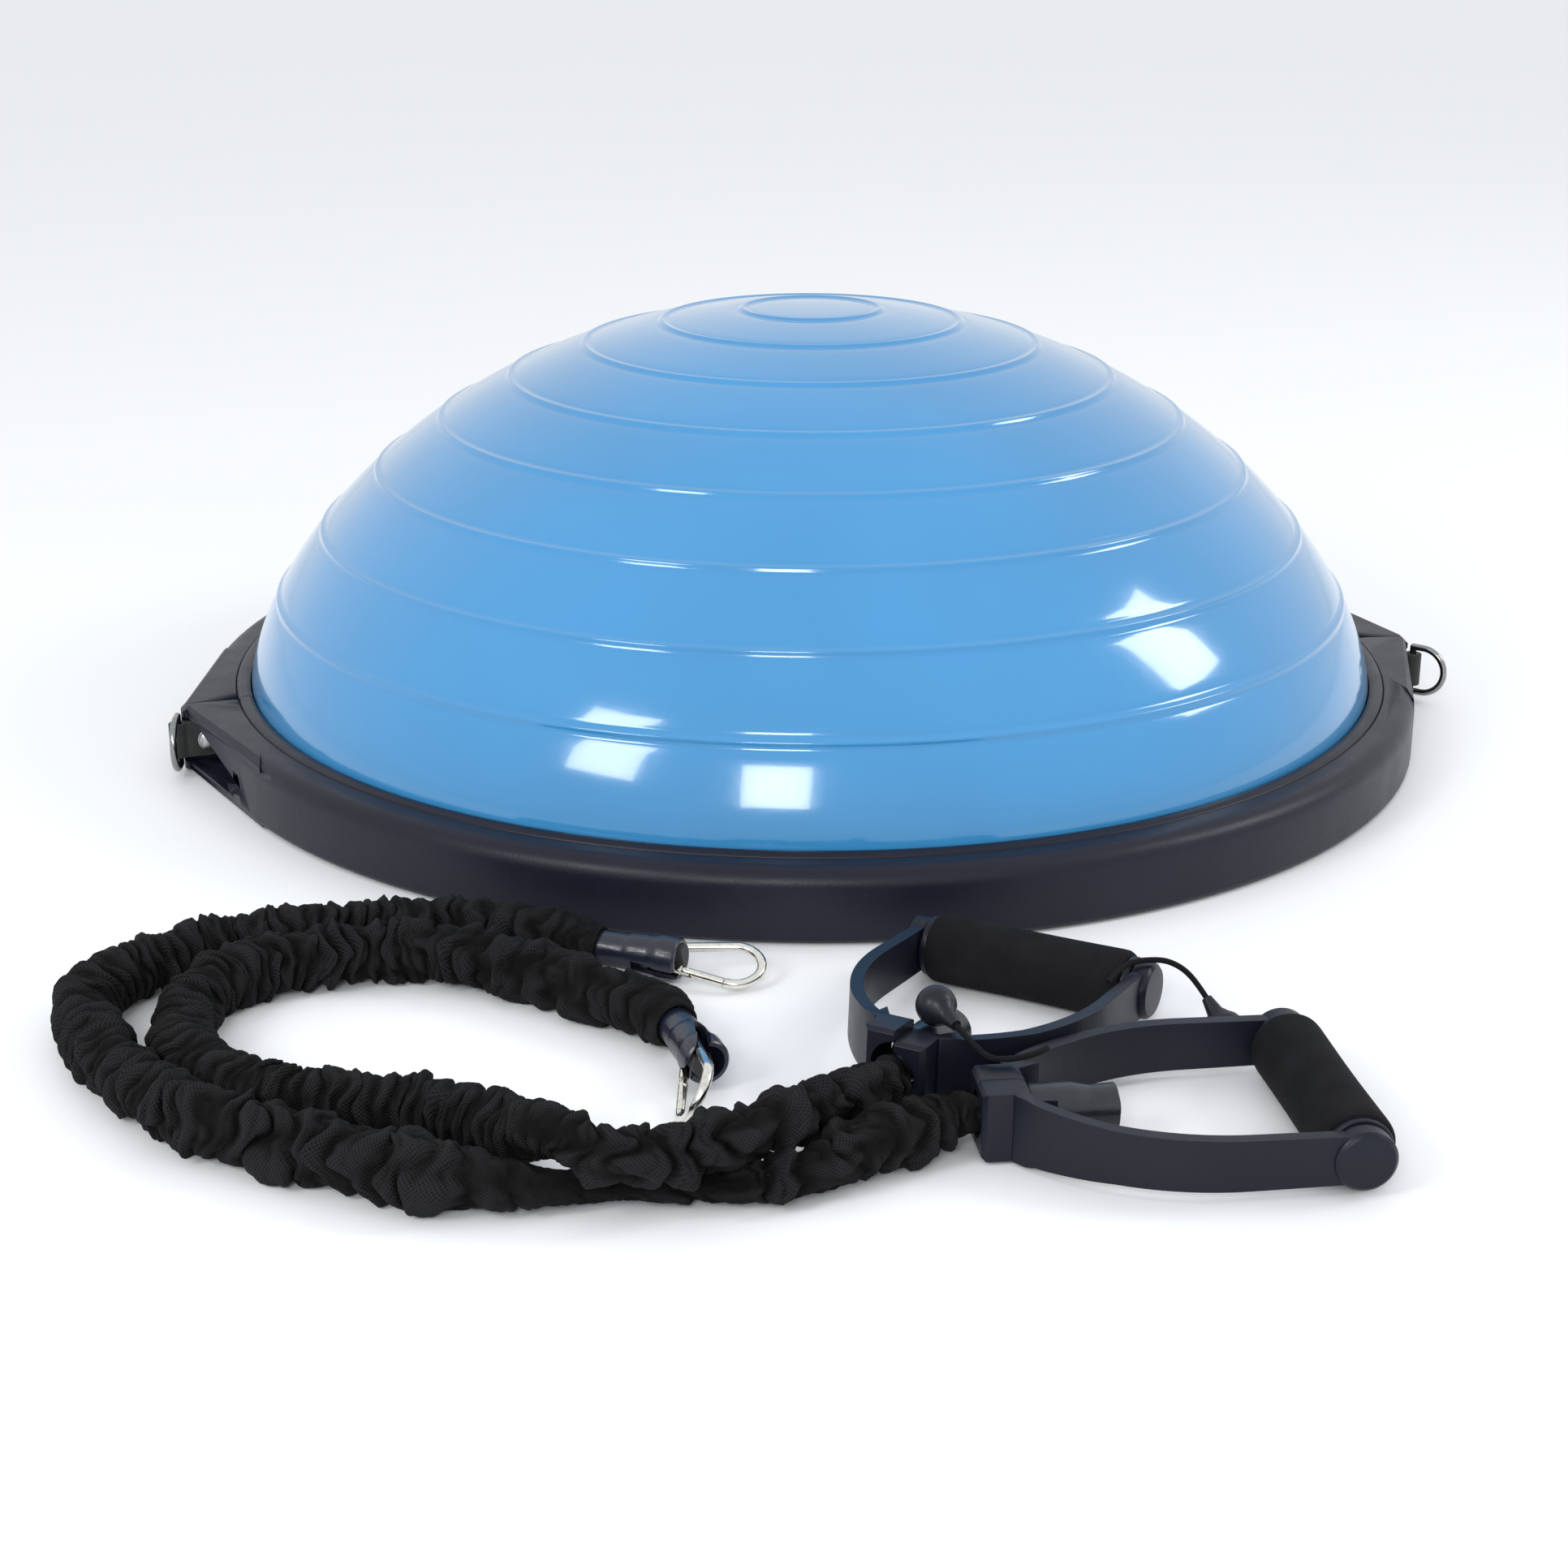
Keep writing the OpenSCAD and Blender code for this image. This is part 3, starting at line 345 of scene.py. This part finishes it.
def catmull(points, per_mm):
    """Points on a smooth line through the given ones, every 1 / per_mm mm, any number of values each."""
    pts = [Vector(p) for p in points]
    pts = [pts[0] * 2 - pts[1], *pts, pts[-1] * 2 - pts[-2]]
    fine = []
    for a, b, c, d in zip(pts, pts[1:], pts[2:], pts[3:]):
        for k in range(24):
            t = k / 24
            square, cube = 2 * a - 5 * b + 4 * c - d, 3 * b - a - 3 * c + d
            fine.append(0.5 * ((2 * b) + (c - a) * t + square * t * t + cube * t ** 3))
    fine.append(pts[-2])
    lengths = [0.0]
    for a, b in zip(fine, fine[1:]):
        lengths.append(lengths[-1] + (Vector(b[:3]) - Vector(a[:3])).length)
    count = max(8, round(lengths[-1] * per_mm))
    out, i = [], 0
    for k in range(count + 1):
        s = lengths[-1] * k / count
        while i < len(fine) - 2 and lengths[i + 1] < s:
            i += 1
        t = (s - lengths[i]) / max(lengths[i + 1] - lengths[i], 1e-9)
        out.append(fine[i].lerp(fine[i + 1], min(max(t, 0), 1)))
    return out, lengths[-1]


def line_frames(points):
    """Tangent, side and up at each point of a line, with up as near to vertical as it can be."""
    frames = []
    for i, p in enumerate(points):
        a, b = points[max(i - 1, 0)], points[min(i + 1, len(points) - 1)]
        t = (Vector(b[:3]) - Vector(a[:3])).normalized()
        s = Vector((0, 0, 1)).cross(t).normalized()
        frames.append((t, s, t.cross(s)))
    return frames


def tube_of_rings(rings, name="cloth", round_mm=70, heights=()):
    """A bmesh that joins rings of points, with UV in metres along and round it, and each point's height in its fold."""
    bm = bmesh.new()
    uv = bm.loops.layers.uv.new(name)
    fold = bm.verts.layers.float.new("fold")
    rows = [[bm.verts.new(p) for p in ring] for _, ring in rings]
    n = len(rows[0])
    for v, height in zip((v for row in rows for v in row), heights):
        v[fold] = height
    for (sa, _), (sb, _), a, b in zip(rings, rings[1:], rows, rows[1:]):
        for k in range(n):
            face = bm.faces.new((a[k], a[(k + 1) % n], b[(k + 1) % n], b[k]))
            for loop, (s, j) in zip(face.loops, ((sa, k), (sa, k + 1), (sb, k + 1), (sb, k))):
                loop[uv].uv = (s * MM, j / n * round_mm * MM)
    return bm, rows


def between(stops, share):
    """The values of a table at a share of the length."""
    for low, high in zip(stops, stops[1:]):
        if share <= high[0]:
            t = (share - low[0]) / (high[0] - low[0])
            t = t * t * (3 - 2 * t)
            return [a + (b - a) * t for a, b in zip(low[1:], high[1:])]
    return list(stops[-1][1:])


# Cloth below SAG_FROM flattens out towards FLOOR_GAP above the floor, in mm
SAG_FROM, FLOOR_GAP = 1.6, 0.4


def pleat(f):
    """Height of a rounded pleat with sharp creases on both sides, and which pleat it is."""
    fold = int(f // 1)
    return sin(pi * (f - fold)) ** 0.75, fold


def gathered_sleeve(name, route, gather, fullness, seed, body):
    """Cloth gathered over an elastic tube: rounded puffs with sharp creases between them."""
    line, length = catmull(route, 1.8)
    frames = line_frames(line)
    sides = 64
    rings, heights, phase, fine_phase = [], [], 0.0, 0.0
    step = length / (len(line) - 1)
    for i, (p, (t, s, u)) in enumerate(zip(line, frames)):
        share = i / (len(line) - 1)
        spacing, depth, wide, high = between(gather, share)
        phase += step / spacing
        fine_phase += step / (spacing * 0.47)
        at = i * step
        edge = min(1, at / 6, (length - at) / 6)
        ring = []
        for k in range(sides):
            a = 2 * pi * k / sides
            ca, sa = cos(a), sin(a)
            lump = noise.noise((at / 19 + seed, ca * 0.9, sa * 0.9))
            base = (min(p[3], 13) - 0.9) * fullness + depth * 0.45 * lump
            warp = 0.9 * noise.noise((at / 17 + seed, ca * 0.8, sa * 0.8))
            warp += 0.3 * noise.noise((at / 9, ca * 1.7 + seed, sa * 1.7))
            big, big_fold = pleat(phase + warp)
            small, small_fold = pleat(fine_phase + warp * 1.4 + 0.5 * noise.noise((at / 11, ca * 2 - seed, sa * 2)))
            size = 0.75 + 1.1 * noise.noise((big_fold * 3.7 + seed, ca * 1.0, sa * 1.0))
            fine = 0.45 + 1.3 * noise.noise((small_fold * 2.3 - seed, ca * 1.3, sa * 1.3))
            rise = 0.95 * max(0.15, min(1.3, size)) * big + 0.5 * max(0, min(1.1, fine)) * small
            h = 1.15 * depth * rise
            h += 0.4 * noise.noise((at / 2.1 + seed, ca * 6, sa * 6))
            lean = 1.2 * noise.noise((big_fold * 1.9, ca * 0.7 + seed, sa * 0.7)) * h * edge
            r = base - 0.62 * depth + h * (0.35 + 0.65 * edge)
            q = Vector(p[:3]) + s * (r * ca * wide) + u * (r * sa * high) + t * lean
            if q.z < SAG_FROM:
                q.z = FLOOR_GAP + (SAG_FROM - FLOOR_GAP) * exp((q.z - SAG_FROM) / (SAG_FROM - FLOOR_GAP))
            ring.append(q * MM)
            # Each point's height in its fold, which the cloth's colour uses to paint shade into the creases and light
            # onto the ridges
            heights.append(min(1, rise * min(1, depth / 2.5) + 0.45 * (1 - min(1, depth / 2.5))))
        rings.append((at, ring))
    bm, rows = tube_of_rings(rings, heights=heights)
    # The hems at both ends turn inwards to the elastic tube
    for row, (p, (t, _, _)), way in ((rows[0], (line[0], frames[0]), 1), (rows[-1], (line[-1], frames[-1]), -1)):
        centre = Vector(p[:3]) * MM
        edges = [e for v in row for e in v.link_edges if e.is_boundary]
        for shrink, slip in ((0.9, 0.0002), (0.72, 0.004)):
            made = bmesh.ops.extrude_edge_only(bm, edges=list(set(edges)))["geom"]
            verts = [g for g in made if isinstance(g, bmesh.types.BMVert)]
            for v in verts:
                v.co = centre + (v.co - centre) * shrink + t * way * slip
            edges = [g for g in made if isinstance(g, bmesh.types.BMEdge) and g.is_boundary]
    bmesh.ops.recalc_face_normals(bm, faces=bm.faces)
    obj = new_object(name, bm, 180, body)
    path = [Vector(p[:3]) * MM for p in line[::4]]
    if (len(line) - 1) % 4:
        path.append(Vector(line[-1][:3]) * MM)
    return obj, path, length * MM


def cord_tube(name, points, radius, sides, body, per_mm=1.0):
    """A round cord through points in mm, closed at both ends."""
    line, length = catmull(points, per_mm)
    frames = line_frames(line)
    rings = []
    for i, (p, (t, s, u)) in enumerate(zip(line, frames)):
        angles = [2 * pi * k / sides for k in range(sides)]
        ring = [(Vector(p[:3]) + (s * cos(a) + u * sin(a)) * radius) * MM for a in angles]
        rings.append((length * i / (len(line) - 1), ring))
    bm, rows = tube_of_rings(rings, round_mm=2 * pi * radius)
    for row in (rows[0], rows[-1]):
        bm.faces.new(row)
    bmesh.ops.recalc_face_normals(bm, faces=bm.faces)
    return new_object(name, bm, 50, body), [Vector(p[:3]) * MM for p in line], length * MM


def turned(x, y, degrees_):
    a = radians(degrees_)
    return x * cos(a) - y * sin(a), x * sin(a) + y * cos(a)


def on_handle(pose, x):
    dx, dy = turned(x * cos(radians(pose[4])), 0, pose[3])
    return (pose[0] + dx, pose[1] + dy, pose[2] - x * sin(radians(pose[4])))


# ---------------------------------------------------------------- settings

class TrainerColours(PropertyGroup):
    dome: FloatVectorProperty(
        name="Dome", description="Colour of the dome's vinyl",
        subtype="COLOR", size=3, min=0, max=1, default=(0.037, 0.236, 0.50))
    platform: FloatVectorProperty(
        name="Platform", description="Colour of the platform's covers",
        subtype="COLOR", size=3, min=0, max=1, default=(0.0075, 0.0078, 0.0165))
    handle: FloatVectorProperty(
        name="Handles", description="Colour of the handles' plastic",
        subtype="COLOR", size=3, min=0, max=1, default=(0.0060, 0.0070, 0.0135))
    cloth: FloatVectorProperty(
        name="Sleeves", description="Colour of the gathered cloth",
        subtype="COLOR", size=3, min=0, max=1, default=(0.0050, 0.0050, 0.0056))


class TrainerSizes(PropertyGroup):
    dome_radius: FloatProperty(
        name="Dome radius", description="Radius of the dome where it meets the rim",
        subtype="DISTANCE", unit="LENGTH", default=0.3005)
    dome_height: FloatProperty(
        name="Dome height", description="Height of the crown above the rim",
        subtype="DISTANCE", unit="LENGTH", default=0.1905)
    ring_count: IntProperty(name="Rings", description="Number of raised rings on the dome", default=8, min=0, max=8)
    fullness: FloatProperty(
        name="Sleeve fullness", description="How full the gathered sleeves are",
        default=1.0, min=0.8, max=1.1)


class TRAINER_OT_stage(Operator):
    """Set up the floor, the soft studio lights and the camera"""
    bl_idname = "trainer.stage"
    bl_label = "Stage"

    def execute(self, context):
        scene = context.scene
        camera = bpy.data.objects.new("camera", bpy.data.cameras.new("camera"))
        camera.data.lens = 60.5
        camera.data.sensor_width = 36
        camera.data.clip_end = 50
        camera.matrix_world = (
            Matrix.Translation((-0.2787, -1.3567, 0.458))
            @ Matrix.Rotation(radians(-11.05), 4, "Z")
            @ Matrix.Rotation(radians(70.16), 4, "X")
            @ Matrix.Rotation(radians(0.17), 4, "Z")
        )
        scene.collection.objects.link(camera)
        scene.camera = camera

        bm = bmesh.new()
        bmesh.ops.create_grid(bm, x_segments=1, y_segments=1, size=14)
        bmesh.ops.translate(bm, verts=bm.verts, vec=(0, 0, -0.0002))
        mesh = bpy.data.meshes.new("floor")
        bm.to_mesh(mesh)
        bm.free()
        floor = bpy.data.objects.new("floor", mesh)
        scene.collection.objects.link(floor)
        pale = Finish("pale_floor", (0.86, 0.87, 0.89), 0.55)
        pale.set("Roughness", pale.mottle(3, 2) * 0.1 + 0.5)
        floor.data.materials.append(pale.material)

        world = bpy.data.worlds.new("studio")
        world.use_nodes = True
        world.node_tree.nodes["Background"].inputs["Color"].default_value = (0.97, 0.985, 1.0, 1)
        world.node_tree.nodes["Background"].inputs["Strength"].default_value = 0.95
        scene.world = world
        scene.view_settings.view_transform = "Standard"

        self.softbox("key_left", (-1.5, -1.2, 1.15), (0, 0, 0.1), 0.5, 0.65, 11)
        self.softbox("key_centre", (-0.6, -1.9, 0.92), (0, 0, 0.1), 0.45, 0.55, 10)
        self.softbox("key_right", (2.1, -0.45, 1.45), (0, 0, 0.1), 0.6, 0.8, 15)
        return {"FINISHED"}

    @staticmethod
    def softbox(name, where, aim, width, height, watts):
        data = bpy.data.lights.new(name, "AREA")
        data.shape = "RECTANGLE"
        data.size, data.size_y = width, height
        data.energy = watts
        lamp = bpy.data.objects.new(name, data)
        way = Vector(aim) - Vector(where)
        lamp.matrix_world = Matrix.Translation(where) @ way.to_track_quat("-Z", "Y").to_matrix().to_4x4()
        bpy.context.scene.collection.objects.link(lamp)


class TRAINER_OT_bands(Operator):
    """Make the two gathered sleeves and the elastic tubes inside them"""
    bl_idname = "trainer.bands"
    bl_label = "Resistance bands"

    def execute(self, context):
        sizes = context.scene.trainer_sizes
        cloth = gathered_cloth(context.scene.trainer_colours.cloth)
        rubber = glossy_rubber("tube_rubber", (0.03, 0.03, 0.035), 0.4)
        for side, route, gather, pose, boot, seed in (
            ("front", FRONT_ROUTE, FRONT_GATHER, FRONT_POSE, FRONT_BOOT, 3.1),
            ("rear", REAR_ROUTE, REAR_GATHER, REAR_POSE, REAR_BOOT, 11.7),
        ):
            start = (*on_handle(pose, 2), 8.4)
            sleeve, path, length = gathered_sleeve(
                side + "_sleeve_cloth", (start, *route), gather, sizes.fullness, seed, "resistance_bands")
            dress(sleeve, cloth)
            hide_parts(side + "_sleeve")
            inside = [on_handle(pose, 53.5), on_handle(pose, 0), *[p[:3] for p in route]]
            bx, by = turned(16, 0, boot[3])
            inside.append((boot[0] + bx, boot[1] + by, boot[2]))
            tube, path, length = cord_tube(side + "_elastic", inside, 5, 16, "resistance_bands", 0.4)
            dress(tube, rubber)
            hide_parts(side + "_tube")
        return {"FINISHED"}


class TRAINER_OT_dome(Operator):
    """Turn the inflated dome with its raised rings"""
    bl_idname = "trainer.dome"
    bl_label = "Dome"

    def execute(self, context):
        sizes = context.scene.trainer_sizes
        radius, height, foot, wall = sizes.dome_radius, sizes.dome_height, 0.0345, 0.003

        def skin(t):
            return Vector((radius * sin(t) ** 0.94, foot + height * cos(t) ** 1.333))

        fine = [skin(radians(90) * k / 1800) for k in range(1800)]
        run = [0.0]
        for a, b in zip(fine, fine[1:]):
            run.append(run[-1] + (b - a).length)
        rings = [0.036 + 0.0425 * i for i in range(sizes.ring_count)]
        ring_height, ring_groove = 0.0011, 0.00018
        profile, last = [], -1.0
        for k in range(1, len(fine) - 1):
            near = min([abs(run[k] - r) for r in rings], default=1)
            spacing = 0.00035 if near < 0.005 else 0.004
            if run[k] - last < spacing:
                continue
            last = run[k]
            out = (fine[k + 1] - fine[k - 1]).normalized()
            normal = Vector((-out.y, out.x))
            bump = ring_height * exp(-(near / 0.0014) ** 2) - ring_groove * exp(-((near - 0.0034) / 0.0011) ** 2)
            p = fine[k] + normal * bump
            profile.append((p.x, p.y))
        top = [(0.0, foot + height)]
        lower = [(radius, foot), (radius - 0.0008, 0.015), (radius - 0.003, 0.009), (radius - 0.024, 0.009),
                 (radius - 0.024, 0.012), (radius - 0.005, 0.012), (radius - 0.003, 0.017)]
        inner = []
        for k in range(1740, 60, -60):
            out = (fine[k + 1] - fine[k - 1]).normalized()
            inner.append(fine[k] - Vector((-out.y, out.x)) * wall)
        inner = [(p.x, p.y) for p in inner] + [(0.0, foot + height - wall)]
        bm = lathe(top + profile + lower + inner, 240)
        dome = new_object("dome_skin", bm, 40)
        dress(dome, dome_vinyl(context.scene.trainer_colours.dome))
        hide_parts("dome")
        return {"FINISHED"}


class TRAINER_OT_platform(Operator):
    """Finish the rim covers, the pan and the parts under it"""
    bl_idname = "trainer.platform"
    bl_label = "Platform"

    def execute(self, context):
        slate = moulded("slate_plastic", context.scene.trainer_colours.platform, 0.38, lighter=1.25)
        for node in ("rim_front", "rim_rear"):
            dress(refine(node, "dome_unit", 0.0008, 2, 32, 32), slate)
        dress(refine("pan", "dome_unit", 0, smooth=30), slate)
        rubber = glossy_rubber("foot_rubber", (0.012, 0.012, 0.013), 0.7)
        for node in ("grip_ring", "valve_seat"):
            dress(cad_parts[node], rubber)
        steel = plated("zinc_plate", (0.62, 0.62, 0.6), 0.3)
        for node in ("clamp_ring", "clamp_screws", "rim_screws"):
            dress(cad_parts[node], steel)
        dress(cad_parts["valve_plug"], moulded("valve_plastic", (0.7, 0.7, 0.7), 0.4))
        return {"FINISHED"}


class TRAINER_OT_anchors(Operator):
    """Finish the straps, bolts and D rings at the two side lugs"""
    bl_idname = "trainer.anchors"
    bl_label = "Side anchors"

    def execute(self, context):
        strap = webbing((0.022, 0.024, 0.024))
        steel = plated("bolt_steel", (0.45, 0.46, 0.46), 0.32)
        dark = plated("gunmetal", (0.30, 0.31, 0.30), 0.16)
        for side in ("left", "right"):
            dress(refine(side + "_strap", "dome_unit", 0.0006, 2), strap)
            for part in ("_anchor_bolt", "_anchor_nut", "_washers"):
                dress(refine(side + part, "dome_unit", 0.0003, 2), steel)
            dress(refine(side + "_d_ring", side + "_ring", 0, smooth=60), dark)
        return {"FINISHED"}


class TRAINER_OT_handles(Operator):
    """Finish the handles' arms, axles and foam grips"""
    bl_idname = "trainer.handles"
    bl_label = "Handles"

    def execute(self, context):
        plastic = moulded("handle_plastic", context.scene.trainer_colours.handle, 0.36, 1200, 0.15)
        steel = plated("axle_steel", (0.6, 0.6, 0.6), 0.3)
        foam = foam_skin((0.008, 0.008, 0.0095))
        plug_rubber = glossy_rubber("plug_rubber", (0.008, 0.009, 0.013), 0.28)
        for side, pose in (("front", FRONT_POSE), ("rear", REAR_POSE)):
            for part in ("_near_arm", "_far_arm"):
                dress(refine(side + part, "resistance_bands", 0.0016, 4), plastic)
            dress(refine(side + "_grip_core", side + "_grip", 0.0006, 2), plastic)
            dress(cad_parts[side + "_axle"], steel)
            dress(refine(side + "_tube_plug", "resistance_bands", 0.0006, 2), plug_rubber)
            half = 0.0432
            r = FOAM_R
            ridge = [(0.0103, -half), (r - 0.003, -half), (r - 0.0009, -half + 0.0006),
                     (r - 0.0001, -half + 0.0022), (r, -half + 0.005)]
            waist = [(r - 0.0004 * sin(pi * k / 8), -half + 0.005 + (2 * half - 0.01) * k / 8) for k in range(1, 8)]
            profile = ridge + waist + [(x, -y) for x, y in reversed(ridge)]
            bm = lathe(profile, 64, closed=True)
            place = (Matrix.Translation(Vector(on_handle(pose, 131)) * MM) @ Matrix.Rotation(radians(pose[3]), 4, "Z")
                     @ Matrix.Rotation(radians(pose[4]), 4, "Y") @ Matrix.Rotation(pi / 2, 4, "X"))
            bmesh.ops.transform(bm, matrix=place, verts=bm.verts)
            grip = new_object(side + "_foam_grip", bm, 45, side + "_grip")
            dress(grip, foam)
            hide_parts(side + "_foam")
        return {"FINISHED"}


class TRAINER_OT_snap_hooks(Operator):
    """Make the rubber boots, webbing loops and snap hooks at the bands' ends"""
    bl_idname = "trainer.snap_hooks"
    bl_label = "Snap hooks"

    def execute(self, context):
        rubber = glossy_rubber("boot_rubber", (0.008, 0.010, 0.022), 0.26)
        nickel = plated("nickel", (0.78, 0.76, 0.70), 0.12)
        web = webbing((0.02, 0.02, 0.022))
        for side in ("front", "rear"):
            dress(refine(side + "_boot", "resistance_bands", 0.0005, 2), rubber)
            dress(refine(side + "_loop", "resistance_bands", 0.0004, 2), web)
            dress(refine(side + "_hook", "resistance_bands", 0, smooth=60), nickel)
            dress(refine(side + "_gate", side + "_hook_gate", 0.0002, 2), nickel)
            dress(refine(side + "_gate_pin", "resistance_bands", 0, smooth=40), nickel)
        return {"FINISHED"}


class TRAINER_OT_keepers(Operator):
    """Make the keeper cords and finish their balls"""
    bl_idname = "trainer.keepers"
    bl_label = "Keepers"

    def execute(self, context):
        cord = braid("keeper_braid", (0.006, 0.006, 0.008))
        plastic = moulded("ball_plastic", (0.010, 0.011, 0.016), 0.34, 1200, 0.15)
        for side, points in (("front", FRONT_KEEPER), ("rear", REAR_KEEPER)):
            ball = refine(side + "_keeper_ball", "resistance_bands", 0, smooth=50)
            dress(ball, plastic)
            line, path, length = cord_tube(side + "_keeper_line", points[::-1], 1.2, 12, "resistance_bands", 1.5)
            dress(line, cord)
            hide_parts(side + "_keeper_cord")
        return {"FINISHED"}


class TRAINER_PT_panel(Panel):
    """Lists the trainer's settings and pieces"""
    bl_idname = "TRAINER_PT_panel"
    bl_label = "Balance Dome Trainer"
    bl_space_type = "VIEW_3D"
    bl_region_type = "UI"
    bl_category = "Trainer"

    def draw(self, context):
        layout = self.layout
        for group in (context.scene.trainer_sizes, context.scene.trainer_colours):
            box = layout.box()
            for key in group.__annotations__:
                box.prop(group, key)
        for operator in OPERATORS:
            layout.operator(operator.bl_idname)


OPERATORS = (TRAINER_OT_stage, TRAINER_OT_snap_hooks, TRAINER_OT_bands, TRAINER_OT_keepers, TRAINER_OT_dome,
             TRAINER_OT_platform, TRAINER_OT_anchors, TRAINER_OT_handles)
CLASSES = (TrainerColours, TrainerSizes, *OPERATORS, TRAINER_PT_panel)


def register():
    for cls in CLASSES:
        bpy.utils.register_class(cls)
    bpy.types.Scene.trainer_colours = PointerProperty(type=TrainerColours)
    bpy.types.Scene.trainer_sizes = PointerProperty(type=TrainerSizes)


def unregister():
    del bpy.types.Scene.trainer_sizes
    del bpy.types.Scene.trainer_colours
    for cls in reversed(CLASSES):
        bpy.utils.unregister_class(cls)


def main():
    register()
    for operator in OPERATORS:
        group, name = operator.bl_idname.split(".")
        getattr(getattr(bpy.ops, group), name)()


if __name__ == "__main__":
    main()
